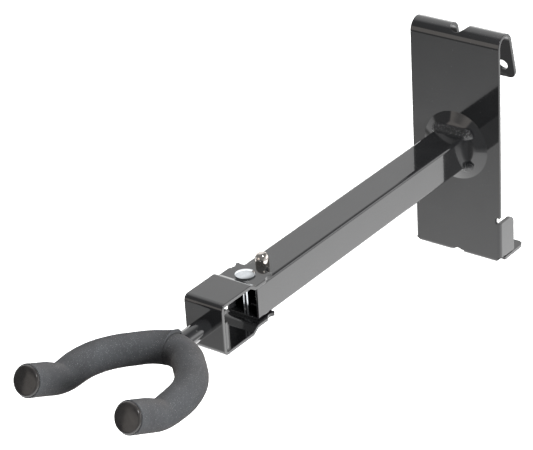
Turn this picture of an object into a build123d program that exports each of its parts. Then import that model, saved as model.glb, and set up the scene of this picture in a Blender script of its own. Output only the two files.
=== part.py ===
"""Swivelling padded hanger arm for grid and mesh walls.

Frame: millimetres, +Z up, +X across the plate, -Y out from the wall.
The origin is the axis of the grid wire that sits in the hook roll, at mid width.
"""
from build123d import *
import os
from math import acos, cos, degrees, radians, sin

# Sheet metal
SHEET_T = 2.5
EDGE_R = 0.4              # rounding of the sheared side edges

# Back plate with its hook
HOOK_R = 6.3              # inner radius of the hook roll
PLATE_W = 72.0
LEG_SPLAY = 14.0          # degrees the hook leg leans back
LEG_LEN = 32.8
LEG_CORNER_R = 5.0
LEG_HOLE_R = 4.1
LEG_HOLE_X = 26.8
LEG_HOLE_DOWN = 22.5      # from the end of the roll, along the leg
ARM_DROP = 80.4           # arm axis below the hook axis
PLATE_BELOW = 86.6        # plate bottom below the arm axis
BEND_R = 0.3              # inner radius of the sharp bends
LIP_DEPTH = 30.6          # bottom lip, behind the plate's back face
LIP_CORNER_R = 4.5
TAB_DEPTH = 16.4          # side tabs, behind the plate's back face
TAB_TOP = -54.8           # tab heights, from the arm axis
TAB_BOTTOM = -83.0
TAB_CORNER_R = 6.0
RELIEF_TOP = -50.4        # relief slot above each tab
RELIEF_DEPTH = 4.0
CORNER_CUT = 4.2          # cut at the two bottom corners, through the bend
CORNER_CUT_DEPTH = 7.0
SLOT_R = 6.8              # slot over the roll, for the grid's upright wire
SLOT_LOW = -9.0           # its lowest point, in the hook leg
PUNCH_R = 5.2             # round hole across the bottom bend, for the same wire
PUNCH_LOW = 1.7           # how far it is centred below and behind the bend
DISH_R = 26.0
DISH_TOP_R = 17.5
DISH_H = 4.0
DISH_ROUND = 8.0          # softens the dish's rim around the tube
DISH_INSET = 1.0          # the hollow behind the dish is this much smaller in radius

# Arm
TUBE = 25.0
TUBE_WALL = 1.5
TUBE_R = 2.0
REACH = 252.0             # pivot in front of the plate's back face
TUBE_NOSE = 4.5           # tube beyond the pivot
BEAD = 4.5                # weld's height on the plate
BEAD_RUN = 5.2            # and its length along the tube

# Swivel bracket
EAR_GAP = 0.1
BRACKET_W = 29.5
BRACKET_H = 36.5
WEB_OUT = 44.2            # web's outer face in front of the pivot
JOGGLE_START = 13.3
JOGGLE_END = 8.2
JOGGLE_R = 3.0
WEB_BEND_R = 4.2          # outer radius of the web's bends
EAR_R = 17.1
NOTCH_PITCH = 36.0
NOTCH_R = 4.6
BUTTON_OFFSET = 18.3      # button behind the pivot

# Stem plate, behind the web
STEM_PLATE_FIT = 1.8      # above and below, inside the bracket
STEM_PLATE_SLOT = (4.0, 5.8)
STEM_PLATE_SLOT_Z = 8.2

# Pivot fastener
BOLT_R = 2.5
BOLT_FIT = 0.05
HEAD_R = 6.6
HEAD_H = 2.5
HEAD_RIM = 0.9
WASHER_R = 5.0
WASHER_T = 1.0
NUT_AF = 8.0
NUT_H = 3.6
NUT_COLLAR_H = 1.6
NUT_COLLAR_R = 3.9
NUT_COLLAR_T = 0.6        # wall of the collar around the nylon insert
NUT_COLLAR_SEAT = 0.4     # insert's seat below the nut's hexagon
NUT_ROUND = 0.5
NUT_CHAMFER = 0.3
BOLT_TAIL = 1.2
BOLT_CHAMFER = 0.5

# Lock button and its leaf spring
BUTTON_R = 4.5
BUTTON_FIT = 0.08
BUTTON_RISE = 10.5        # above the tube's top face
BUTTON_FLANGE_R = 5.6
BUTTON_FLANGE_T = 1.2
SPRING_W = 9.0
SPRING_T = 0.6
SPRING_BACK = 30.0        # spring's bend behind the button
SPRING_NOSE = 4.5         # spring's ends in front of the button
SPRING_BEND = (3.0, 150.0)    # radius and angle of the V's bend
SPRING_FIT = 0.1          # clearance to the tube's roof and floor

# Yoke
STEM_R = 6.0
SPIGOT_R = 4.0
RIVET_R = 6.2
RIVET_H = 2.0
YOKE_OUT = 30.2           # yoke's centre line in front of the web
YOKE_DROP = 1.0           # and below the stem's axis
ROD_R = 5.0
INNER_BEND = (24.5, 44.5)     # radius and angle of the bend at the stem
INNER_RUN = 11.0
OUTER_BEND = (46.0, 45.5)
OUTER_RUN = 5.7
TIP_BEND = (35.0, 24.5)
TIP_RUN = 24.0
FOAM_R = 10.4
SEAM_X = -1.0             # the two foam sleeves meet beside the stem
SEAM_GAP = 0.3
CAP_R = 9.7
CAP_T = 2.8
CAP_SLEEVE_R = 6.2
CAP_SLEEVE_L = 12.0
CAP_RIM = 0.9             # straight part of the cap's rim
CAP_EDGE_R = 0.7
ROD_SHORT = 1.0           # the rod ends this far inside the cap
STEM_WELD = 2.2

# Places worked out from the sizes above
BACK_Y = -HOOK_R
FACE_Y = BACK_Y - SHEET_T
ARM_Z = -ARM_DROP
BOTTOM_Z = ARM_Z - PLATE_BELOW
DISH_Y = FACE_Y - DISH_H
PIVOT_Y = BACK_Y - REACH
TUBE_END_Y = PIVOT_Y - TUBE_NOSE
WEB_Y = PIVOT_Y - WEB_OUT
EAR_IN = TUBE / 2 + EAR_GAP
EAR_OUT = EAR_IN + SHEET_T
BUTTON_Y = PIVOT_Y + BUTTON_OFFSET
YOKE_Y = WEB_Y - YOKE_OUT
YOKE_Z = ARM_Z - YOKE_DROP
HALF_W = PLATE_W / 2

arm_axis = Plane(origin=(0, DISH_Y, ARM_Z), x_dir=(1, 0, 0), z_dir=(0, -1, 0))
front_view = Plane(origin=(0, 0, ARM_Z), x_dir=(1, 0, 0), z_dir=(0, -1, 0))
pivot_plane = Plane(origin=(0, PIVOT_Y, ARM_Z), x_dir=(1, 0, 0), z_dir=(0, 0, 1))
button_plane = Plane(origin=(0, BUTTON_Y, ARM_Z), x_dir=(1, 0, 0), z_dir=(0, 0, 1))
side_view = Plane.YZ

os.makedirs("parts", exist_ok=True)


def save(builder, name):
    """Label a finished piece and write it."""
    builder.part.label = name
    export_step(builder.part, f"parts/{name}.step")


def side_outline(builder, half_width):
    """The edges that lie in the two side planes of a sheet-metal part."""
    edges = builder.edges().filter_by(lambda e: abs(abs(e.center().X) - half_width) < 0.01)
    return edges.filter_by(lambda e: all(abs(abs(v.X) - half_width) < 0.01 for v in e.vertices()))


# ---------------------------------------------------------------- back plate
splay = radians(LEG_SPLAY)
roll_end = (HOOK_R * cos(splay), HOOK_R * sin(splay))
leg_end = (roll_end[0] + LEG_LEN * sin(splay), roll_end[1] - LEG_LEN * cos(splay))
leg_plane = Plane(origin=(0, *roll_end), x_dir=(1, 0, 0), z_dir=(0, cos(splay), sin(splay)))
lip_top_z = BOTTOM_Z + SHEET_T
tab_height = TAB_TOP - TAB_BOTTOM

with BuildPart() as back_plate:
    # Hook leg, roll, face and bottom lip, bent from one strip
    with BuildSketch(side_view):
        with BuildLine():
            Line(leg_end, roll_end)
            CenterArc((0, 0), HOOK_R, LEG_SPLAY, 180 - LEG_SPLAY)
            face = Line((BACK_Y, 0), (BACK_Y, lip_top_z + BEND_R))
            foot = JernArc(face @ 1, (0, -1), BEND_R, 90)
            Line(foot @ 1, (BACK_Y + LIP_DEPTH, lip_top_z))
            offset(amount=SHEET_T, side=Side.RIGHT)
        make_face()
    extrude(amount=HALF_W, both=True)

    # Embossed dish around the arm
    with Locations(Plane(origin=(0, FACE_Y, ARM_Z), x_dir=(1, 0, 0), z_dir=(0, -1, 0))):
        Cone(DISH_R, DISH_TOP_R, DISH_H, align=(Align.CENTER, Align.CENTER, Align.MIN))
    fillet(back_plate.faces().sort_by(Axis.Y)[0].edges(), radius=DISH_ROUND)
    with Locations(Plane(origin=(0, BACK_Y, ARM_Z), x_dir=(1, 0, 0), z_dir=(0, -1, 0))):
        Cone(
            DISH_R - DISH_INSET,
            DISH_TOP_R - DISH_INSET,
            DISH_H,
            align=(Align.CENTER, Align.CENTER, Align.MIN),
            mode=Mode.SUBTRACT,
        )

    # Rounded ends of the hook leg and its two holes
    with BuildSketch(leg_plane):
        with Locations((0, LEG_HOLE_DOWN)):
            with GridLocations(2 * LEG_HOLE_X, 0, 2, 1):
                Circle(LEG_HOLE_R)
    extrude(amount=2 * SHEET_T, both=True, mode=Mode.SUBTRACT)
    leg_corners = back_plate.edges().filter_by(lambda e: abs(e.length - SHEET_T) < 0.01).sort_by(Axis.Z)
    leg_corners = leg_corners.filter_by(lambda e: abs(abs(e.center().X) - HALF_W) < 0.01 and e.center().Y > 5)
    fillet(leg_corners.filter_by(lambda e: e.center().Z > ARM_Z), radius=LEG_CORNER_R)
    fillet(back_plate.edges().filter_by(Axis.Z).group_by(Axis.Y)[-1], radius=LIP_CORNER_R)

    # Cut-outs of the face: relief above each tab, and the tab's fold
    with BuildSketch(front_view.offset(-FACE_Y)):
        with Locations((HALF_W, RELIEF_TOP), (-HALF_W, RELIEF_TOP)):
            Rectangle(2 * RELIEF_DEPTH, RELIEF_TOP - TAB_TOP, align=(Align.CENTER, Align.MAX))
        with Locations((HALF_W, TAB_TOP), (-HALF_W, TAB_TOP)):
            Rectangle(2 * (SHEET_T + BEND_R), tab_height, align=(Align.CENTER, Align.MAX))
    extrude(amount=-SHEET_T - BEND_R, mode=Mode.SUBTRACT)

    # Side tabs folded back below the relief slots
    for side in (1, -1):
        with BuildSketch(Plane.XY.offset(ARM_Z + TAB_BOTTOM)):
            with BuildLine():
                fold_start = HALF_W - SHEET_T - BEND_R
                stub = Line((side * (fold_start - 1), BACK_Y), (side * fold_start, BACK_Y))
                fold = JernArc(stub @ 1, (side, 0), BEND_R, side * 90)
                Line(fold @ 1, (side * (HALF_W - SHEET_T), BACK_Y + TAB_DEPTH))
                offset(amount=SHEET_T, side=Side.RIGHT if side > 0 else Side.LEFT)
            make_face()
        extrude(amount=tab_height)
    tab_corners = back_plate.edges().filter_by(Axis.X)
    tab_corners = tab_corners.filter_by(lambda e: abs(e.center().Z - ARM_Z - TAB_TOP) < 0.01)
    fillet(tab_corners.sort_by(Axis.Y)[-2:], radius=TAB_CORNER_R)

    # Bottom corners cut off, through face, tabs and lip
    with BuildSketch(front_view.offset(-FACE_Y)):
        with Locations((HALF_W, -PLATE_BELOW), (-HALF_W, -PLATE_BELOW)):
            Rectangle(CORNER_CUT * 2**0.5, CORNER_CUT * 2**0.5, rotation=45)
    extrude(amount=-CORNER_CUT_DEPTH, mode=Mode.SUBTRACT)

    # Slot over the roll and down the leg
    with Locations((0, 0, HOOK_R)):
        Cylinder(SLOT_R, HOOK_R, mode=Mode.SUBTRACT)
    with BuildSketch(Plane.XZ):
        with Locations((0, SLOT_LOW + SLOT_R)):
            Circle(SLOT_R)
            Rectangle(2 * SLOT_R, 4 * SLOT_R, align=(Align.CENTER, Align.MIN))
    extrude(amount=-LIP_DEPTH, mode=Mode.SUBTRACT)

    # Round hole across the bottom bend
    with Locations(front_view.offset(-FACE_Y)):
        with Locations((0, -PLATE_BELOW - PUNCH_LOW)):
            Cylinder(PUNCH_R, 2 * SHEET_T, mode=Mode.SUBTRACT)
    with Locations((0, FACE_Y + PUNCH_LOW, BOTTOM_Z)):
        Cylinder(PUNCH_R, 2 * SHEET_T, mode=Mode.SUBTRACT)

    # Rounded side edges of the face, roll and leg
    outline = side_outline(back_plate, HALF_W)
    fillet(outline.filter_by(lambda e: e.center().Z > ARM_Z + RELIEF_TOP - 0.01), radius=EDGE_R)
save(back_plate, "back_plate")

# ---------------------------------------------------------------- arm
with BuildPart() as arm_tube:
    with BuildSketch(arm_axis):
        RectangleRounded(TUBE, TUBE, TUBE_R)
        RectangleRounded(TUBE - 2 * TUBE_WALL, TUBE - 2 * TUBE_WALL, TUBE_R - TUBE_WALL, mode=Mode.SUBTRACT)
    extrude(amount=DISH_Y - TUBE_END_Y)
    with Locations(pivot_plane):
        Cylinder(BOLT_R + BOLT_FIT, 2 * TUBE, mode=Mode.SUBTRACT)
    with BuildSketch(button_plane):
        Circle(BUTTON_R + BUTTON_FIT)
    extrude(amount=TUBE, mode=Mode.SUBTRACT)
save(arm_tube, "arm_tube")

# Weld beads along the tube's top and bottom
with BuildPart() as arm_weld:
    with BuildSketch(side_view):
        with BuildLine():
            Polyline(
                (DISH_Y, ARM_Z + TUBE / 2 + BEAD),
                (DISH_Y - BEAD_RUN, ARM_Z + TUBE / 2),
                (DISH_Y - BEAD_RUN, ARM_Z + TUBE / 2 - TUBE_R),
                (DISH_Y, ARM_Z + TUBE / 2 - TUBE_R),
                close=True,
            )
        make_face()
    extrude(amount=TUBE / 2, both=True)
    mirror(about=Plane.XY.offset(ARM_Z))
    with BuildSketch(arm_axis):
        RectangleRounded(TUBE, TUBE, TUBE_R)
    extrude(amount=BEAD_RUN, mode=Mode.SUBTRACT)
save(arm_weld, "arm_weld")

# ---------------------------------------------------------------- swivel bracket
with BuildPart() as swivel_bracket:
    with BuildSketch(side_view):
        half_h = BRACKET_H / 2
        with BuildLine():
            top = FilletPolyline(
                (PIVOT_Y + EAR_R, ARM_Z + EAR_OUT),
                (PIVOT_Y - JOGGLE_END, ARM_Z + EAR_OUT),
                (PIVOT_Y - JOGGLE_START, ARM_Z + half_h),
                (WEB_Y + WEB_BEND_R, ARM_Z + half_h),
                radius=JOGGLE_R,
            )
            upper_bend = JernArc(top @ 1, (-1, 0), WEB_BEND_R, 90)
            web = Line(upper_bend @ 1, (WEB_Y, ARM_Z - half_h + WEB_BEND_R))
            lower_bend = JernArc(web @ 1, (0, -1), WEB_BEND_R, 90)
            FilletPolyline(
                lower_bend @ 1,
                (PIVOT_Y - JOGGLE_START, ARM_Z - half_h),
                (PIVOT_Y - JOGGLE_END, ARM_Z - EAR_OUT),
                (PIVOT_Y + EAR_R, ARM_Z - EAR_OUT),
                radius=JOGGLE_R,
            )
            offset(amount=SHEET_T, side=Side.LEFT)
        make_face()
    extrude(amount=BRACKET_W / 2, both=True)

    # Round, notched ends of the two ears
    with BuildSketch(pivot_plane):
        Circle(EAR_R)
        with Locations((0, -WEB_OUT / 2)):
            Rectangle(BRACKET_W, WEB_OUT)
        with PolarLocations(BUTTON_OFFSET, 5, 90 - 2 * NOTCH_PITCH, 4 * NOTCH_PITCH, endpoint=True):
            Circle(NOTCH_R, mode=Mode.SUBTRACT)
    extrude(amount=BRACKET_H, both=True, mode=Mode.INTERSECT)

    # Pivot holes and the stem's hole
    with Locations(pivot_plane):
        Cylinder(BOLT_R + BOLT_FIT, 2 * BRACKET_H, mode=Mode.SUBTRACT)
    with Locations(front_view.offset(-WEB_Y)):
        Cylinder(SPIGOT_R, 4 * SHEET_T, mode=Mode.SUBTRACT)
    fillet(side_outline(swivel_bracket, BRACKET_W / 2), radius=EDGE_R)
save(swivel_bracket, "swivel_bracket")

# Plate riveted behind the web, with a slot in each side
stem_plate_h = BRACKET_H - 2 * (SHEET_T + STEM_PLATE_FIT)
with BuildPart() as stem_plate:
    with BuildSketch(front_view.offset(-WEB_Y - SHEET_T)):
        Rectangle(BRACKET_W, stem_plate_h)
        with Locations((BRACKET_W / 2, STEM_PLATE_SLOT_Z), (-BRACKET_W / 2, STEM_PLATE_SLOT_Z)):
            Rectangle(2 * STEM_PLATE_SLOT[0], STEM_PLATE_SLOT[1], mode=Mode.SUBTRACT)
        Circle(SPIGOT_R, mode=Mode.SUBTRACT)
    extrude(amount=-SHEET_T)
    fillet(side_outline(stem_plate, BRACKET_W / 2).filter_by_position(
        Axis.Y, WEB_Y + SHEET_T, WEB_Y + 2 * SHEET_T, inclusive=(False, True)), radius=EDGE_R)
save(stem_plate, "stem_plate")

# ---------------------------------------------------------------- pivot fastener
with BuildPart() as pivot_bolt:
    with BuildSketch(Plane(origin=pivot_plane.origin, x_dir=(1, 0, 0), z_dir=(0, -1, 0))):
        with BuildLine():
            stem_low = -EAR_OUT - WASHER_T - NUT_H - NUT_COLLAR_H - BOLT_TAIL
            Polyline(
                (0, EAR_OUT + HEAD_H),
                (0, stem_low),
                (BOLT_R - BOLT_CHAMFER, stem_low),
                (BOLT_R, stem_low + BOLT_CHAMFER),
                (BOLT_R, EAR_OUT),
                (HEAD_R, EAR_OUT),
                (HEAD_R, EAR_OUT + HEAD_RIM),
            )
            dome_h = HEAD_H - HEAD_RIM
            dome_r = (HEAD_R**2 + dome_h**2) / (2 * dome_h)
            rim_angle = degrees(acos(HEAD_R / dome_r))
            CenterArc((0, EAR_OUT + HEAD_H - dome_r), dome_r, rim_angle, 90 - rim_angle)
        make_face()
    revolve(axis=Axis(pivot_plane.origin, (0, 0, 1)))
save(pivot_bolt, "pivot_bolt")

with BuildPart() as pivot_washer:
    with BuildSketch(pivot_plane.offset(-EAR_OUT)):
        Circle(WASHER_R)
        Circle(BOLT_R + BOLT_FIT, mode=Mode.SUBTRACT)
    extrude(amount=-WASHER_T)
save(pivot_washer, "pivot_washer")

nut_top = -EAR_OUT - WASHER_T
insert_plane = pivot_plane.offset(nut_top - NUT_H - NUT_COLLAR_SEAT)
insert_h = NUT_COLLAR_H - NUT_COLLAR_T
with BuildPart() as pivot_nut:
    with BuildSketch(pivot_plane.offset(nut_top)):
        RegularPolygon(NUT_AF / 2, 6, major_radius=False)
    extrude(amount=-NUT_H)
    chamfer(pivot_nut.faces().sort_by(Axis.Z)[-1].edges(), length=NUT_CHAMFER)
    with BuildSketch(pivot_plane.offset(nut_top - NUT_H)):
        Circle(NUT_COLLAR_R)
    extrude(amount=-NUT_COLLAR_H)
    fillet(pivot_nut.faces().sort_by(Axis.Z)[0].edges(), radius=NUT_ROUND)
    with Locations(pivot_plane.offset(nut_top)):
        Cylinder(BOLT_R, 4 * NUT_H, mode=Mode.SUBTRACT)
    with BuildSketch(insert_plane):
        Circle(NUT_COLLAR_R - NUT_COLLAR_T)
    extrude(amount=-insert_h, mode=Mode.SUBTRACT)
save(pivot_nut, "pivot_nut")

with BuildPart() as nut_insert:
    with BuildSketch(insert_plane):
        Circle(NUT_COLLAR_R - NUT_COLLAR_T)
        Circle(BOLT_R, mode=Mode.SUBTRACT)
    extrude(amount=-insert_h)
save(nut_insert, "nut_insert")

# ---------------------------------------------------------------- lock button and leaf spring
tube_roof = TUBE / 2 - TUBE_WALL
flange_low = tube_roof - SPRING_FIT - BUTTON_FLANGE_T
button_top = TUBE / 2 + BUTTON_RISE
with BuildPart() as lock_button:
    with BuildSketch(Plane(origin=button_plane.origin, x_dir=(1, 0, 0), z_dir=(0, -1, 0))):
        with BuildLine():
            shoulder = button_top - BUTTON_R
            Polyline(
                (0, button_top),
                (0, flange_low),
                (BUTTON_FLANGE_R, flange_low),
                (BUTTON_FLANGE_R, flange_low + BUTTON_FLANGE_T),
                (BUTTON_R, flange_low + BUTTON_FLANGE_T),
                (BUTTON_R, shoulder),
            )
            CenterArc((0, shoulder), BUTTON_R, 0, 90)
        make_face()
    revolve(axis=Axis(button_plane.origin, (0, 0, 1)))
save(lock_button, "lock_button")

# V-shaped leaf: the upper leg carries the button, the lower leg lies on the tube's floor
with BuildPart() as lock_spring:
    with BuildSketch(side_view):
        with BuildLine():
            floor_z = ARM_Z - tube_roof + SPRING_FIT
            upper_z = ARM_Z + flange_low - SPRING_T
            nose_y = BUTTON_Y - BUTTON_FLANGE_R - SPRING_NOSE
            lower = Line((nose_y, floor_z), (BUTTON_Y + SPRING_BACK, floor_z))
            bend = JernArc(lower @ 1, (1, 0), *SPRING_BEND)
            rise = Line(bend @ 1, (BUTTON_Y + BUTTON_FLANGE_R, upper_z))
            Line(rise @ 1, (BUTTON_Y - BUTTON_FLANGE_R, upper_z))
            offset(amount=SPRING_T, side=Side.LEFT)
        make_face()
    extrude(amount=SPRING_W / 2, both=True)
save(lock_spring, "lock_spring")

# ---------------------------------------------------------------- yoke
web_centre = Plane(origin=(0, WEB_Y, ARM_Z), x_dir=(1, 0, 0), z_dir=(0, -1, 0))
with BuildPart() as yoke_stem:
    with BuildSketch(web_centre):
        Circle(STEM_R)
    extrude(amount=YOKE_OUT)
    with BuildSketch(web_centre):
        Circle(SPIGOT_R)
    extrude(amount=-2 * SHEET_T)
    with BuildSketch(web_centre.offset(-2 * SHEET_T)):
        Circle(RIVET_R)
    extrude(amount=-RIVET_H)
    fillet(yoke_stem.faces().sort_by(Axis.Y)[-1].edges(), radius=RIVET_H - 0.3)
    # Seat for the cross rod
    with Locations(Plane(origin=(0, YOKE_Y, YOKE_Z), z_dir=(1, 0, 0))):
        Cylinder(ROD_R, 4 * STEM_R, mode=Mode.SUBTRACT)
save(yoke_stem, "yoke_stem")

inner_r, inner_angle = INNER_BEND
outer_r, outer_angle = OUTER_BEND
tip_r, tip_angle = TIP_BEND
lift = radians(tip_angle)
with BuildLine() as arm_path:
    inner_arc = JernArc((0, YOKE_Y, YOKE_Z), (1, 0, 0), inner_r, -inner_angle)
    inner_line = Line(inner_arc @ 1, (inner_arc @ 1) + (inner_arc % 1) * INNER_RUN)
    outer_arc = JernArc(inner_line @ 1, inner_line % 1, outer_r, -outer_angle)
    outer_line = Line(outer_arc @ 1, (outer_arc @ 1) + Vector(0, -OUTER_RUN, 0))
    tip_start = outer_line @ 1
    tip_end = tip_start + Vector(0, -tip_r * sin(lift), tip_r * (1 - cos(lift)))
    TangentArc(tip_start, tip_end, tangent=(0, -1, 0))
    Line(tip_end, tip_end + Vector(0, -cos(lift), sin(lift)) * TIP_RUN)
arm_wire = arm_path.wires()[0]
start_plane = Plane(origin=arm_wire @ 0, x_dir=(0, 0, 1), z_dir=(1, 0, 0))
tip_plane = Plane(origin=arm_wire @ 1, x_dir=(1, 0, 0), z_dir=arm_wire % 1)
tip_section = Plane(origin=arm_wire @ 1, x_dir=(1, 0, 0), z_dir=Vector(1, 0, 0).cross(arm_wire % 1))

with BuildPart() as yoke_rod:
    with BuildSketch(start_plane):
        Circle(ROD_R)
    sweep(path=arm_wire)
    with BuildSketch(tip_plane.offset(-ROD_SHORT)):
        Circle(2 * ROD_R)
    extrude(amount=2 * ROD_SHORT, mode=Mode.SUBTRACT)
    mirror(about=Plane.YZ)
save(yoke_rod, "yoke_rod")

with BuildPart() as yoke_weld:
    with BuildSketch(web_centre.offset(YOKE_OUT - ROD_R - STEM_WELD)):
        Circle(STEM_R)
    with BuildSketch(web_centre.offset(YOKE_OUT)):
        Circle(STEM_R + STEM_WELD)
    loft()
    with Locations(Plane(origin=(0, YOKE_Y, YOKE_Z), z_dir=(1, 0, 0))):
        Cylinder(ROD_R, 6 * STEM_R, mode=Mode.SUBTRACT)
    with Locations(web_centre):
        Cylinder(STEM_R, 3 * YOKE_OUT, mode=Mode.SUBTRACT)
save(yoke_weld, "yoke_weld")

# Foam sleeves on the two halves of the rod
with BuildPart() as foam:
    with BuildSketch(start_plane):
        Circle(FOAM_R)
    sweep(path=arm_wire)
    with BuildSketch(start_plane):
        Circle(ROD_R)
    sweep(path=arm_wire, mode=Mode.SUBTRACT)
    with BuildSketch(tip_plane):
        Circle(CAP_SLEEVE_R)
    extrude(amount=-CAP_SLEEVE_L, mode=Mode.SUBTRACT)
    mirror(about=Plane.YZ)
    with BuildSketch(web_centre.offset(YOKE_OUT / 3)):
        Circle(STEM_R + STEM_WELD)
    extrude(amount=YOKE_OUT * 2 / 3, mode=Mode.SUBTRACT)

for name, shift, keep in (("foam_right", SEAM_GAP, Keep.TOP), ("foam_left", -SEAM_GAP, Keep.BOTTOM)):
    with BuildPart() as sleeve:
        add(foam.part)
        split(bisect_by=Plane.YZ.offset(SEAM_X + shift / 2), keep=keep)
    save(sleeve, name)

# Domed end caps, each with a sleeve over the rod's end
for name, side in (("cap_right", 1), ("cap_left", -1)):
    with BuildPart() as cap:
        with BuildSketch(tip_section) as profile:
            with BuildLine():
                Polyline((0, CAP_T), (0, 0), (CAP_R, 0), (CAP_R, CAP_RIM))
                dome_h = CAP_T - CAP_RIM
                dome_r = (CAP_R**2 + dome_h**2) / (2 * dome_h)
                rim_angle = degrees(acos(CAP_R / dome_r))
                CenterArc((0, CAP_T - dome_r), dome_r, rim_angle, 90 - rim_angle)
            make_face()
            fillet(profile.vertices().group_by(Axis.X)[-1].sort_by(Axis.Y)[-1], radius=CAP_EDGE_R)
        revolve(axis=Axis(tip_plane.origin, tip_plane.z_dir))
        with BuildSketch(tip_plane):
            Circle(CAP_SLEEVE_R)
        extrude(amount=-CAP_SLEEVE_L)
        with BuildSketch(tip_plane.offset(-ROD_SHORT)):
            Circle(ROD_R)
        extrude(amount=-CAP_SLEEVE_L, mode=Mode.SUBTRACT)
        if side < 0:
            mirror(about=Plane.YZ, mode=Mode.REPLACE)
    save(cap, name)
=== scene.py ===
"""Swivelling padded hanger arm: looks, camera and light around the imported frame."""
import math
from collections import namedtuple

import bmesh
import bpy
from mathutils import Matrix, Quaternion, Vector, noise


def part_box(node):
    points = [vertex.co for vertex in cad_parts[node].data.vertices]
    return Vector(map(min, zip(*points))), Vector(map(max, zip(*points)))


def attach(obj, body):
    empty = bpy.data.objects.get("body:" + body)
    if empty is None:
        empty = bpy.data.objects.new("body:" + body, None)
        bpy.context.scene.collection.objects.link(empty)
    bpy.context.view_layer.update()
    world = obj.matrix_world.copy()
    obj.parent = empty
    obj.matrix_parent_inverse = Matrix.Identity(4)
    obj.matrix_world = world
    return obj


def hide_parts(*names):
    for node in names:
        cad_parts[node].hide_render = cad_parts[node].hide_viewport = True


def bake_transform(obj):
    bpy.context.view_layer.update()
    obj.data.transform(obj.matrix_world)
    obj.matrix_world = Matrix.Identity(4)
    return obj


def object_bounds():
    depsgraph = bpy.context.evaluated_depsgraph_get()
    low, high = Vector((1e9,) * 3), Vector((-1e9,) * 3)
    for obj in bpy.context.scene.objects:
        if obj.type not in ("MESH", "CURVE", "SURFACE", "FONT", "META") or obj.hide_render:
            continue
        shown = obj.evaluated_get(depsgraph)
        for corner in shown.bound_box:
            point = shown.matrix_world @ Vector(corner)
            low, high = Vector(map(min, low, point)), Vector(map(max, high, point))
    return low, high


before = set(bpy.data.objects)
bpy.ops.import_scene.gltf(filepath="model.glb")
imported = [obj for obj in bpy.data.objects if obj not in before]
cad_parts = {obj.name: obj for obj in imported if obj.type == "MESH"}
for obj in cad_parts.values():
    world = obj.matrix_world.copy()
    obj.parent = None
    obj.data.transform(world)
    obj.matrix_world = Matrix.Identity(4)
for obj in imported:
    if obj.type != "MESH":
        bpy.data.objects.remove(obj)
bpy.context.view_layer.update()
MM = 0.001
UP = Vector((0, 0, 1))

# Right half of the yoke's centre line, from the stem to the tip; a bend is (radius, angle)
INNER_BEND = (24.5 * MM, math.radians(44.5))
INNER_RUN = 11.0 * MM
OUTER_BEND = (46.0 * MM, math.radians(45.5))
OUTER_RUN = 5.7 * MM
TIP_BEND = (35.0 * MM, math.radians(24.5))
TIP_RUN = 24.0 * MM
LINE_STEP = 0.8 * MM      # spacing of the places along it

# Foam sleeves
FOAM_R = 10.4 * MM
ROD_R = 5.0 * MM
STEM_R = 6.0 * MM
FOAM_POINTS = 120         # points round a sleeve
FOAM_RELIEF = ((0.12 * MM, 0.07), (0.05 * MM, 0.45))   # (height, features per mm) of its unevenness
FOAM_FACE = 1.6 * MM      # width of the flat ring round a cut end
BORE_FIT = 0.1 * MM       # room between the sleeve and the rod
BORE_END = 1.0 * MM       # the bore's last ring stops this far short of the cap's socket
BORE_SKIP = 3             # the bore has a ring at every third place
SEAM_X = -1.0 * MM        # the sleeves meet a little left of the middle
SEAM_GAP = 0.3 * MM
SEAM_CLEAR = 0.3 * MM     # the first place after the seam's own rings is at least this far on
SEAM_EDGE = 0.12 * MM     # radius of the crisp edge at the seam
SEAM_EDGE_STEPS = 2
SEAM_FADE = 4.0 * MM      # the changes next to the seam die away over this length
SEAM_DIP = 0.3 * MM       # how far the right sleeve draws in at the seam
FLARE = 2.4 * MM          # how far the left sleeve's end stands out behind the seam
FLARE_WAY = Vector((0, 0.6, 0.8))                      # it flares most to the back and upwards
TIP_EDGE = 0.5 * MM       # radius of the soft edge next to the cap
TIP_EDGE_STEPS = 5
ENDS_CLEAR = 0.5 * MM     # the skin's other rings keep this far from both ends
CREASE = 1.9 * MM         # depth of the pinch in the sleeve's upper side, at the tip bend
CREASE_REACH = 15.0 * MM
CREASE_POWERS = (1.4, 1.5)                             # how fast it fades along and round the sleeve
PUFF = 0.5 * MM           # swelling round the stem
PUFF_RING = (STEM_R + 2.2 * MM, 1.6 * MM)              # (radius, width) of that swelling
LEFT_SEED = Vector((3.0, 7.0, 1.0))                    # sets the left sleeve's unevenness apart

# End caps
CAP_R = 9.7 * MM
CAP_POINTS = 96           # points round a cap
CAP_LIP = 0.2 * MM        # bevel at the back of the rim
CAP_BAND = 0.5 * MM       # height where the straight side ends
CAP_ROUND = (1.7 * MM, math.radians(72))               # (radius, angle) of the rounded edge
CAP_ROUND_STEPS = 8
CAP_DOME = 0.7 * MM       # rise of the face inside that edge
CAP_DOME_STEPS = 10
ROD_SHORT = 1.0 * MM      # the rod stops this far short of the sleeve's end
CAP_SLEEVE_R = 6.2 * MM
CAP_SLEEVE_L = 12.0 * MM
CAP_SLEEVE_FIT = 0.05 * MM                             # room between it and the foam

# Leaf spring
LEAF_LENGTHS = 24

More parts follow.
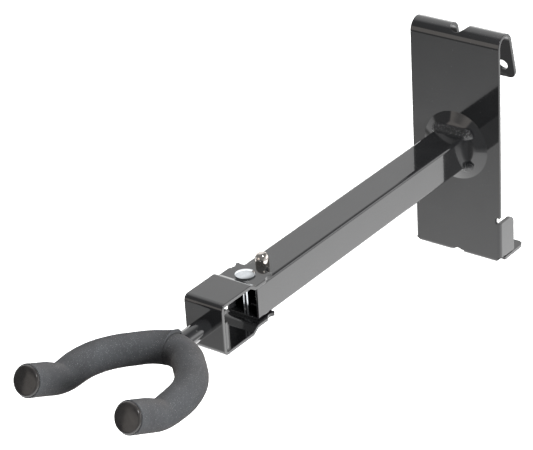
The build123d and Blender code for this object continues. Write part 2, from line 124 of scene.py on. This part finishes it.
# Weld between arm and plate
BEAD = 4.5 * MM           # height up the plate
BEAD_RUN = 5.2 * MM       # length along the tube
BEAD_WRAP = 3.4 * MM      # reach round each corner, from the tube's face
BEAD_CORNER = 2.0 * MM    # radius of the tube's corners under it
BEAD_ROOT = 0.3 * MM      # depth of the bead's hidden edge inside tube and plate
BEAD_STEPS = 220
BEAD_ACROSS = 22
BEAD_END = 2.2 * MM       # length of its rounded ends
BEAD_STUB = 0.02          # share of the section left at the very end
BEAD_SIZE = 0.92          # the section between the lumps, as a share of the full one
BEAD_LUMPS = ((0.18, 2.0 * MM), (0.10, 2.2 * MM))      # (extra share, width) of the lump at each corner
CROWN = 0.25 * MM         # fullness in the middle of its section
RIPPLE_PITCH = 1.5 * MM
RIPPLE = 0.22 * MM        # height of a ripple
RIPPLE_BOW = 0.55         # how far a ripple bows along the bead, in pitches
RIPPLE_DRIFT = (0.25, 0.6)                             # (pitches, features per mm) of their unevenness
# Its unevenness: (height, features per mm along it, features across it, layer of the noise)
LUMPINESS = ((0.45 * MM, 1.1, 6, 4.0), (0.30 * MM, 2.3, 13, 9.0))


# ------------------------------------------------------------------ node helpers
class Nodes:
    """Adds nodes to a tree. A setting is a value, or the output that an input is linked to."""

    def __init__(self, tree):
        self.tree = tree

    def set(self, node, **settings):
        """Sets inputs or properties of a node; an underscore stands for a space in an input's name."""
        for key, value in settings.items():
            label = key.replace("_", " ")
            if label not in node.inputs:
                setattr(node, key, value)
            elif isinstance(value, bpy.types.NodeSocket):
                self.tree.links.new(value, node.inputs[label])
            else:
                node.inputs[label].default_value = value

    def add(self, kind, **settings):
        node = self.tree.nodes.new(kind)
        self.set(node, **settings)
        return node


class Surface(Nodes):
    """A material with one Principled shader, and textures that follow the object."""

    def __init__(self, name):
        self.material = bpy.data.materials.new(name)
        self.material.use_nodes = True
        super().__init__(self.material.node_tree)

    def shade(self, **settings):
        self.set(self.tree.nodes["Principled BSDF"], **settings)

    def texture(self, kind, **settings):
        """A texture in the object's own coordinates."""
        point = self.add("ShaderNodeTexCoord").outputs["Object"]
        return self.add(kind, Vector=point, **settings)

    def clouds(self, scale, detail=3.0, roughness=0.5):
        """Soft unevenness; scale is in features per metre."""
        node = self.texture("ShaderNodeTexNoise", Scale=scale, Detail=detail, Roughness=roughness)
        return node.outputs["Fac"]

    def cells(self, scale):
        """Distance from the nearest of many scattered points; scale is in points per metre."""
        node = self.texture("ShaderNodeTexVoronoi", Scale=scale, Randomness=1.0)
        return node.outputs["Distance"]

    def ramp(self, value, *stops):
        """A colour ramp over value; stops are (position, grey or colour)."""
        node = self.add("ShaderNodeValToRGB", Fac=value)
        elements = node.color_ramp.elements
        while len(elements) < len(stops):
            elements.new(0.5)
        for element, (position, colour) in zip(elements, stops):
            element.position = position
            element.color = (*colour, 1) if hasattr(colour, "__len__") else (colour, colour, colour, 1)
        return node.outputs["Color"]

    def plus(self, base, extra, share):
        node = self.add("ShaderNodeMixRGB", blend_type="ADD", Fac=share, Color1=base, Color2=extra)
        return node.outputs["Color"]

    def soft_edges(self, radius):
        """The surface's direction, with sharp edges rounded over."""
        return self.add("ShaderNodeBevel", samples=4, Radius=radius).outputs["Normal"]

    def bump(self, height, strength, distance, **under):
        node = self.add("ShaderNodeBump", Height=height, Strength=strength, Distance=distance, **under)
        return node.outputs["Normal"]


# ------------------------------------------------------------------ materials
def gloss_black(name, gloss, coat_roughness, grain, strength, height):
    """High-gloss black powder coat: wet clear top, a few dust specks, and a relief of the given grain."""
    surface = Surface(name)
    darker, paler = (0.0085, 0.0088, 0.0095), (0.0125, 0.0128, 0.0135)
    mottle = surface.ramp(surface.clouds(45.0), (0.3, darker), (0.7, paler))
    dust = surface.ramp(surface.cells(260.0), (0.0, 0.16), (0.035, 0.16), (0.06, 0.0))
    relief = surface.bump(surface.clouds(*grain), strength, height, Normal=surface.soft_edges(0.45 * MM))
    smooth, dull = gloss
    surface.shade(
        Base_Color=surface.plus(mottle, dust, 0.35),
        Roughness=surface.ramp(surface.clouds(70.0), (0.3, smooth), (0.75, dull)),
        IOR=1.5,
        Normal=relief,
        Coat_Weight=1.0,
        Coat_Roughness=coat_roughness,
        Coat_IOR=1.5,
        Coat_Normal=relief,
    )
    return surface.material


def closed_cell_foam():
    """Matte charcoal foam, faintly blue, with fine pale flecks and open pores."""
    surface = Surface("foam_charcoal")
    darker, paler = (0.040, 0.042, 0.045), (0.052, 0.055, 0.059)
    colour = surface.ramp(surface.clouds(60.0), (0.3, darker), (0.75, paler))
    for scale, size, level in ((560.0, 0.13, 0.30), (1200.0, 0.22, 0.20)):
        fleck = surface.ramp(surface.cells(scale), (0.0, level), (size * 0.6, level * 0.7), (size, 0.0))
        colour = surface.plus(colour, fleck, 0.5)
    pores = surface.bump(surface.cells(1500.0), 0.45, 0.20 * MM)
    surface.shade(
        Base_Color=colour,
        Roughness=surface.ramp(surface.clouds(300.0), (0.3, 0.72), (0.7, 0.92)),
        Specular_IOR_Level=0.1,
        Sheen_Weight=0.05,
        Sheen_Roughness=0.6,
        Sheen_Tint=(0.95, 0.80, 0.70, 1),
        Normal=surface.bump(surface.clouds(3200.0), 0.35, 0.12 * MM, Normal=pores),
    )
    return surface.material


def moulded_plastic():
    """Glossy black cap plastic with a soft ripple and handling haze."""
    surface = Surface("cap_black_plastic")
    haze = surface.clouds(160.0, detail=4.0)
    surface.shade(
        Base_Color=surface.ramp(haze, (0.3, (0.016, 0.015, 0.015)), (0.7, (0.030, 0.028, 0.027))),
        Roughness=surface.ramp(haze, (0.3, 0.14), (0.7, 0.24)),
        Coat_Weight=0.2,
        Coat_Roughness=0.06,
        Normal=surface.bump(surface.clouds(180.0, detail=2.0), 0.10, 0.2 * MM),
    )
    return surface.material


def plated_metal(name, colour, darker, gloss, scratch):
    """Bright plating: its colour drifts a little, with fine marks in its roughness and relief."""
    surface = Surface(name)
    marks = surface.clouds(1500.0, detail=4.0, roughness=0.7)
    smooth, dull = gloss
    surface.shade(
        Base_Color=surface.ramp(surface.clouds(220.0), (0.3, darker), (0.7, colour)),
        Metallic=1.0,
        Roughness=surface.ramp(marks, (0.3, smooth), (0.7, dull)),
        Normal=surface.bump(marks, scratch, 0.05 * MM, Normal=surface.soft_edges(0.25 * MM)),
    )
    return surface.material


def natural_nylon():
    """Milky nylon with a faint mottle."""
    surface = Surface("nylon_natural")
    darker, paler = (0.62, 0.64, 0.58), (0.74, 0.76, 0.70)
    surface.shade(
        Base_Color=surface.ramp(surface.clouds(400.0), (0.3, darker), (0.7, paler)),
        Roughness=0.5,
        Subsurface_Weight=0.1,
        Normal=surface.bump(surface.clouds(900.0), 0.1, 0.1 * MM),
    )
    return surface.material


orange_peel = {"grain": (420.0, 2.0), "strength": 0.05, "height": 0.1 * MM}
weld_grit = {"grain": (900.0, 4.0, 0.6), "strength": 1.0, "height": 0.6 * MM}
paint = gloss_black("gloss_black_paint", (0.07, 0.13), 0.025, **orange_peel)
weld_paint = gloss_black("gloss_black_over_weld", (0.14, 0.25), 0.06, **weld_grit)
foam_surface = closed_cell_foam()
cap_surface = moulded_plastic()
zinc = plated_metal("zinc_plate", (0.82, 0.85, 0.88), (0.72, 0.75, 0.78), (0.08, 0.16), 0.05)
nickel = plated_metal("nickel_plate", (0.90, 0.85, 0.80), (0.80, 0.74, 0.69), (0.04, 0.12), 0.05)
spring_steel = plated_metal("spring_steel", (0.36, 0.36, 0.38), (0.24, 0.24, 0.26), (0.25, 0.45), 0.3)

SURFACES = {
    "back_plate": paint,
    "arm_tube": paint,
    "swivel_bracket": paint,
    "stem_plate": paint,
    "yoke_stem": paint,
    "yoke_rod": paint,
    "yoke_weld": weld_paint,
    "pivot_bolt": zinc,
    "pivot_washer": zinc,
    "pivot_nut": zinc,
    "nut_insert": natural_nylon(),
    "lock_button": nickel,
    "lock_spring": spring_steel,     # the bending leaf copies this node with its material
}
for node_name, material in SURFACES.items():
    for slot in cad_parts[node_name].material_slots:
        slot.material = material


# ------------------------------------------------------------------ mesh helpers
def new_object(name, data):
    piece = bpy.data.objects.new(name, data)
    bpy.context.scene.collection.objects.link(piece)
    return piece


def mesh_piece(name, rows, material, closed_rows=False):
    """A mesh from rows of points: each row is a closed ring, and rows join into a skin.

    closed_rows joins the last row to the first; otherwise both ends are capped.
    """
    mesh = bmesh.new()
    rings = [[mesh.verts.new(point) for point in row] for row in rows]
    pairs = list(zip(rings, rings[1:]))
    if closed_rows:
        pairs.append((rings[-1], rings[0]))
    for near, far in pairs:
        for i in range(len(near)):
            j = (i + 1) % len(near)
            mesh.faces.new((near[i], near[j], far[j], far[i]))
    if not closed_rows:
        mesh.faces.new(rings[0])
        mesh.faces.new(rings[-1])
    bmesh.ops.recalc_face_normals(mesh, faces=mesh.faces)
    data = bpy.data.meshes.new(name)
    mesh.to_mesh(data)
    mesh.free()
    data.polygons.foreach_set("use_smooth", [True] * len(data.polygons))
    data.materials.append(material)
    return new_object(name, data)


def bell(x, centre, width):
    return math.exp(-(((x - centre) / width) ** 2))


def quarter_turn(steps):
    """(cosine, sine) of even angles from 0 to 90 degrees."""
    angles = [math.pi / 2 * k / steps for k in range(steps + 1)]
    return [(math.cos(angle), math.sin(angle)) for angle in angles]


# ------------------------------------------------------------------ the yoke's centre line
Place = namedtuple("Place", "distance point direction up")


def bend_length(bend):
    radius, angle = bend
    return radius * angle


def centre_line():
    """Places along the right half of the yoke, from its middle to its tip."""
    low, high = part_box("foam_right")
    forward = Vector((0, 0, -1))     # a turn about this axis brings the line forward
    rising = Vector((-1, 0, 0))      # and one about this axis lifts the tip
    chain = (
        (bend_length(INNER_BEND), INNER_BEND[1], forward),
        (INNER_RUN, 0.0, forward),
        (bend_length(OUTER_BEND), OUTER_BEND[1], forward),
        (OUTER_RUN, 0.0, forward),
        (bend_length(TIP_BEND), TIP_BEND[1], rising),
        (TIP_RUN, 0.0, rising),
    )
    distance = 0.0
    point = Vector((0, high.y - FOAM_R, low.z + FOAM_R))
    direction = Vector((1, 0, 0))
    up = UP.copy()
    line = [Place(distance, point, direction.copy(), up.copy())]
    for length, turn, axis in chain:
        count = max(1, round(length / LINE_STEP))
        angle = turn / count
        half = Quaternion(axis, angle / 2)
        chord = 2 * (length / turn) * math.sin(angle / 2) if turn else length / count
        for _ in range(count):
            direction.rotate(half)
            up.rotate(half)
            point = point + direction * chord
            direction.rotate(half)
            up.rotate(half)
            distance += length / count
            line.append(Place(distance, point, direction.copy(), up.copy()))
    return line


YOKE_LINE = centre_line()


def ring(place, radius, count, along=0.0, mirrored=False):
    """A ring of points square to the centre line at a place, moved along the line's direction.

    radius is a length, or a function that gives one from the angle and the direction outwards.
    """
    side = place.direction.cross(place.up)
    points = []
    for k in range(count):
        angle = 2 * math.pi * k / count
        outward = place.up * math.cos(angle) + side * math.sin(angle)
        reach = radius(angle, outward) if callable(radius) else radius
        point = place.point + outward * reach + place.direction * along
        points.append(Vector((-point.x if mirrored else point.x, point.y, point.z)))
    return points


# ------------------------------------------------------------------ foam sleeves
def foam_sleeve(name, mirrored):
    """One foam tube: pinched above its tip bend, puffed round the stem, shaped at the seam."""
    root = YOKE_LINE[0].point
    seam = (-SEAM_X if mirrored else SEAM_X) + SEAM_GAP / 2
    first = Place(seam, root + Vector((seam, 0, 0)), Vector((1, 0, 0)), UP)
    beyond = [place for place in YOKE_LINE if place.distance > seam + SEAM_CLEAR]
    last = beyond[-1]
    crease_at = last.distance - TIP_RUN - bend_length(TIP_BEND) / 2
    seed = LEFT_SEED if mirrored else Vector((0, 0, 0))
    fade_along, fade_round = CREASE_POWERS

    def plain(place, radius, along=0.0):
        return ring(place, radius, FOAM_POINTS, along, mirrored)

    def shaped(place, radius, along=0.0):
        """A ring of the outer skin, with its unevenness, crease, puff and seam."""
        creased = max(0.0, 1 - abs(place.distance - crease_at) / CREASE_REACH) ** fade_along
        seamed = math.exp(-(place.distance - seam) / SEAM_FADE)

        def reach(angle, outward):
            spot = place.point + outward * radius
            swell = sum(height * noise.noise(spot / MM * per_mm + seed) for height, per_mm in FOAM_RELIEF)
            swell -= CREASE * creased * max(0.0, math.cos(angle)) ** fade_round
            swell += PUFF * bell((spot - root).xz.length, *PUFF_RING) * max(0.0, outward.y)
            if mirrored:
                swell += FLARE * seamed * max(0.0, outward.dot(FLARE_WAY))
            else:
                swell -= SEAM_DIP * seamed
            return radius + swell

        return ring(place, reach, FOAM_POINTS, along, mirrored)

    bore = ROD_R + BORE_FIT
    socket = CAP_SLEEVE_R + CAP_SLEEVE_FIT
    rows = [plain(first, bore), plain(first, FOAM_R - FOAM_FACE)]
    for cosine, sine in quarter_turn(SEAM_EDGE_STEPS):
        rows.append(shaped(first, FOAM_R - SEAM_EDGE * (1 - sine), SEAM_EDGE * (1 - cosine)))
    for place in beyond:
        if seam + ENDS_CLEAR < place.distance < last.distance - ENDS_CLEAR:
            rows.append(shaped(place, FOAM_R))
    for cosine, sine in quarter_turn(TIP_EDGE_STEPS):
        rows.append(shaped(last, FOAM_R - TIP_EDGE * (1 - cosine), -TIP_EDGE * (1 - sine)))
    rows.append(plain(last, FOAM_R - FOAM_FACE))
    rows.append(plain(last, socket))
    rows.append(plain(last, socket, -CAP_SLEEVE_L))
    rows.append(plain(last, bore, -CAP_SLEEVE_L))
    inner = [place for place in beyond if place.distance < last.distance - CAP_SLEEVE_L - BORE_END]
    rows += [plain(place, bore) for place in reversed(inner[::BORE_SKIP])]
    return mesh_piece(name, rows, foam_surface, closed_rows=True)


for side, mirrored in (("right", False), ("left", True)):
    sleeve = foam_sleeve("sleeve_" + side, mirrored)
    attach(sleeve, "yoke")
    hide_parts("foam_" + side)


# ------------------------------------------------------------------ end caps
def end_cap(name, mirrored):
    """A rounded button that closes a sleeve, with a socket over the rod's end."""
    profile = [
        (ROD_R, -ROD_SHORT),
        (ROD_R, -CAP_SLEEVE_L),
        (CAP_SLEEVE_R, -CAP_SLEEVE_L),
        (CAP_SLEEVE_R, 0.0),
        (CAP_R - CAP_LIP, 0.0),
        (CAP_R, CAP_LIP),
    ]
    round_r, round_angle = CAP_ROUND
    for k in range(CAP_ROUND_STEPS + 1):
        angle = round_angle * k / CAP_ROUND_STEPS
        profile.append((CAP_R - round_r * (1 - math.cos(angle)), CAP_BAND + round_r * math.sin(angle)))
    rim_r, rim_height = profile[-1]
    for k in range(1, CAP_DOME_STEPS):
        share = 1 - k / CAP_DOME_STEPS
        profile.append((rim_r * share, rim_height + CAP_DOME * (1 - share**2)))
    rows = [ring(YOKE_LINE[-1], radius, CAP_POINTS, height, mirrored) for radius, height in profile]
    return mesh_piece(name, rows, cap_surface)


for side, mirrored in (("right", False), ("left", True)):
    cap = end_cap("button_" + side, mirrored)
    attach(cap, "yoke")
    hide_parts("cap_" + side)


# ------------------------------------------------------------------ leaf spring
def flexing_leaf():
    """The V spring, cut into short lengths so its upper leaf can follow the button down."""
    low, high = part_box("lock_spring")
    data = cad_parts["lock_spring"].data.copy()
    mesh = bmesh.new()
    mesh.from_mesh(data)
    for k in range(1, LEAF_LENGTHS):
        cut = Vector((0, low.y + (high.y - low.y) * k / LEAF_LENGTHS, 0))
        every = mesh.verts[:] + mesh.edges[:] + mesh.faces[:]
        bmesh.ops.bisect_plane(mesh, geom=every, plane_co=cut, plane_no=Vector((0, 1, 0)))
    mesh.to_mesh(data)
    mesh.free()
    leaf = new_object("v_leaf", data)
    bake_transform(leaf)
    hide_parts("lock_spring")


flexing_leaf()


# ------------------------------------------------------------------ weld beads
def weld_bead(name, sign):
    """A rippled bead along the tube's top (sign 1) or bottom (-1), with a lump round each corner."""
    low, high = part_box("arm_tube")
    middle = (low.z + high.z) / 2
    half = (high.x - low.x) / 2
    side = BEAD_WRAP - BEAD_CORNER
    arc = BEAD_CORNER * math.pi / 2
    flat = 2 * (half - BEAD_CORNER)
    total = 2 * (side + arc) + flat

    def outline(s):
        """Place on the tube's outline, and the direction out of it, at a distance along the bead."""
        if s > total / 2:
            place, out = outline(total - s)
            return Vector((-place.x, place.y)), Vector((-out.x, out.y))
        if s < side:
            return Vector((half, half - BEAD_CORNER - side + s)), Vector((1, 0))
        if s < side + arc:
            angle = (s - side) / BEAD_CORNER
            out = Vector((math.cos(angle), math.sin(angle)))
            return Vector((half - BEAD_CORNER, half - BEAD_CORNER)) + out * BEAD_CORNER, out
        return Vector((half - BEAD_CORNER - (s - side - arc), half)), Vector((0, 1))

    def bulge(s, v):
        """How far the bead stands off its straight section, at a share v of the way across it."""
        drift, drift_per_mm = RIPPLE_DRIFT
        wave = s / RIPPLE_PITCH + RIPPLE_BOW * math.sin(math.pi * v)
        wave += drift * noise.noise(Vector((s / MM * drift_per_mm, v, sign)))
        height = CROWN + RIPPLE * (wave % 1.0 - 0.5)
        for rise, along, across, layer in LUMPINESS:
            height += rise * noise.noise(Vector((s / MM * along, v * across, layer + sign)))
        return math.sin(math.pi * v) * height

    rows = []
    for k in range(BEAD_STEPS + 1):
        s = total * k / BEAD_STEPS
        place, out = outline(s)
        inside = min(1.0, min(s, total - s) / BEAD_END)
        closing = min(1.0, math.sqrt(1 - (1 - inside) ** 2) + BEAD_STUB)
        size = BEAD_SIZE
        for corner, (extra, width) in zip((side + arc / 2, total - side - arc / 2), BEAD_LUMPS):
            size += extra * bell(s, corner, width)
        section = []
        for j in range(BEAD_ACROSS + 1):
            v = j / BEAD_ACROSS
            thick = bulge(s, v)
            off_tube = (BEAD * (1 - v) * size + thick) * closing
            off_plate = (BEAD_RUN * v * size + thick) * closing
            section.append((place + out * off_tube, off_plate))
        section.append((place - out * BEAD_ROOT, -BEAD_ROOT))
        rows.append([Vector((spot.x, high.y - off, middle + sign * spot.y)) for spot, off in section])
    return mesh_piece(name, rows, weld_paint)


for name, sign in (("weld_bead_top", 1), ("weld_bead_bottom", -1)):
    bead = weld_bead(name, sign)
    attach(bead, "arm")
    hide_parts("arm_weld")


# ------------------------------------------------------------------ floor
FLOOR_HALF = 12.0
FLOOR_DROP = 0.30         # how far the floor lies below the object


def stage_floor():
    """A white floor that only the camera sees: it lights nothing and shows in no paint."""
    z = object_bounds()[0][2] - FLOOR_DROP
    corners = [(x * FLOOR_HALF, y * FLOOR_HALF, z) for x, y in ((-1, -1), (1, -1), (1, 1), (-1, 1))]
    data = bpy.data.meshes.new("floor")
    data.from_pydata(corners, [], [(0, 1, 2, 3)])
    surface = Surface("floor_white")
    surface.shade(
        Base_Color=(0.9, 0.9, 0.9, 1),
        Roughness=0.9,
        Specular_IOR_Level=0.1,
        Emission_Color=(1.0, 1.0, 1.0, 1),
        Emission_Strength=0.6,
    )
    data.materials.append(surface.material)
    floor = new_object("floor", data)
    floor.visible_glossy = False
    floor.visible_diffuse = False


stage_floor()


# ------------------------------------------------------------------ light
# Glow of the floor in reflections: elevations in degrees where it starts and is full, level
FLOOR_GLOW = (-18.0, -33.0, 1.3)
# Glows: towards, cosine where it starts, cosine where it is full, level outside, level inside;
# a level below nought makes a dark patch
GLOWS = (
    ((0.80, 0.45, -0.40), 0.30, 0.90, 0.18, 0.62),
    ((-0.50, 0.45, 0.75), 0.72, 0.99, 0.0, 0.78),
    ((-0.56, -0.65, -0.51), 0.993, 0.9995, 0.0, -0.70),
)
# Panels: (middle, half width, softness) in azimuth from the front or back and in elevation, level
PANELS = (
    ("back", (-5.0, 75.0, 12.0), (6.0, 12.0, 7.0), 1.2),
    ("front", (-74.0, 10.0, 2.0), (-9.0, 9.0, 2.0), 0.70),
)
WARM_PANEL = ("front", (-20.0, 17.0, 1.2), (4.0, 15.0, 1.5), 0.75)
# Lamps: name, place, aim, size, watts, whether it shows in reflections
LAMPS = (
    ("overhead", (-0.5, 0.3, 1.5), (0.0, -0.2, -0.3), (1.4, 1.4), 56.0, False),
    ("key", (1.3, -0.7, 0.15), (0.0, -0.37, -0.09), (0.5, 0.5), 42.0, False),
    ("fill", (0.2, -1.3, -0.3), (0.0, -0.37, -0.09), (0.8, 0.4), 1.5, False),
    ("glint", (0.80, -0.65, 1.10), (0.0, -0.25, -0.08), (0.25, 0.25), 5.0, True),
)


class Tent(Nodes):
    """Brightness of a light tent, by the direction looked in."""

    def __init__(self, tree):
        super().__init__(tree)
        self.direction = self.add("ShaderNodeTexCoord").outputs["Generated"]
        east, north, height = self.add("ShaderNodeSeparateXYZ", Vector=self.direction).outputs
        self.rise = self.maths("ARCSINE", height)
        self.turn = {
            "front": self.maths("ARCTAN2", east, self.maths("MULTIPLY", north, -1.0)),
            "back": self.maths("ARCTAN2", east, north),
        }

    def maths(self, operation, *values):
        node = self.add("ShaderNodeMath", operation=operation)
        for socket, value in zip(node.inputs, values):
            if isinstance(value, float):
                socket.default_value = value
            else:
                self.tree.links.new(value, socket)
        return node.outputs["Value"]

    def smooth(self, value, start, stop, low, high):
        """Goes from low to high, with soft ends, as value goes from start to stop."""
        step = self.add("ShaderNodeMapRange", interpolation_type="SMOOTHSTEP", Value=value)
        self.set(step, From_Min=start, From_Max=stop, To_Min=low, To_Max=high)
        return step.outputs["Result"]

    def glow(self, toward, start, stop, low, high):
        """Goes from low to high as the direction turns towards a point of the tent."""
        dot = self.add("ShaderNodeVectorMath", operation="DOT_PRODUCT")
        self.tree.links.new(self.direction, dot.inputs[0])
        dot.inputs[1].default_value = Vector(toward).normalized()
        return self.smooth(dot.outputs["Value"], start, stop, low, high)

    def window(self, angle, middle, half, soft):
        """One inside a band of angles in degrees, nought outside it."""
        off = self.maths("ABSOLUTE", self.maths("SUBTRACT", angle, math.radians(middle)))
        return self.smooth(off, math.radians(half - soft), math.radians(half + soft), 1.0, 0.0)

    def panel(self, side, azimuth, elevation, level):
        across = self.window(self.turn[side], *azimuth)
        lit = self.maths("MULTIPLY", across, self.window(self.rise, *elevation))
        return self.maths("MULTIPLY", lit, level)


def studio_world():
    """A tent for reflections: pale below, bright low behind, a warm panel in front.

    It lights no matte surface.
    """
    world = bpy.data.worlds.new("studio")
    bpy.context.scene.world = world
    world.cycles_visibility.diffuse = False
    world.use_nodes = True
    tent = Tent(world.node_tree)
    start, full, level = FLOOR_GLOW
    total = tent.smooth(tent.rise, math.radians(start), math.radians(full), 0.0, level)
    for part in [tent.glow(*glow) for glow in GLOWS] + [tent.panel(*panel) for panel in PANELS]:
        total = tent.maths("ADD", total, part)
    white = tent.tree.nodes["Background"]
    tent.set(white, Color=(1.0, 1.0, 1.0, 1), Strength=total)
    warm = tent.add("ShaderNodeBackground", Color=(1.0, 0.92, 0.85, 1), Strength=tent.panel(*WARM_PANEL))
    both = tent.add("ShaderNodeAddShader")
    for socket, background in zip(both.inputs, (white, warm)):
        tent.tree.links.new(background.outputs["Background"], socket)
    tent.set(tent.tree.nodes["World Output"], Surface=both.outputs["Shader"])


def area_light(name, place, aim, size, watts, reflected):
    data = bpy.data.lights.new(name, "AREA")
    data.shape = "RECTANGLE"
    data.size, data.size_y = size
    data.energy = watts
    light = new_object(name, data)
    light.location = place
    light.rotation_euler = (Vector(aim) - Vector(place)).to_track_quat("-Z", "Y").to_euler()
    light.visible_glossy = reflected
    light.visible_camera = False


studio_world()
for lamp in LAMPS:
    area_light(*lamp)


# ------------------------------------------------------------------ camera
AZIMUTH, ELEVATION, ROLL = (math.radians(angle) for angle in (37.708, 27.963, -3.535))
DISTANCE = 1.5514
AIM = Vector((-0.0368, -0.1813, -0.0752))
LENS = 157.5              # focal length, and the sensor's width, in millimetres
SENSOR = 36.0
SHIFT = (-0.0077, 0.0003)
FAR = 50.0


def long_lens_camera():
    """A long lens from the front right, above, a little rolled."""
    back = Vector((
        math.cos(ELEVATION) * math.sin(AZIMUTH),
        -math.cos(ELEVATION) * math.cos(AZIMUTH),
        math.sin(ELEVATION),
    ))
    level = Vector((math.cos(AZIMUTH), math.sin(AZIMUTH), 0))
    right = level * math.cos(ROLL) + back.cross(level) * math.sin(ROLL)
    turned = Matrix((right, back.cross(right), back)).transposed().to_4x4()
    data = bpy.data.cameras.new("camera")
    data.sensor_width = SENSOR
    data.lens = LENS
    data.shift_x, data.shift_y = SHIFT
    data.clip_end = FAR
    camera = new_object("camera", data)
    camera.matrix_world = Matrix.Translation(AIM + back * DISTANCE) @ turned
    bpy.context.scene.camera = camera


long_lens_camera()
bpy.context.scene.view_settings.view_transform = "Standard"
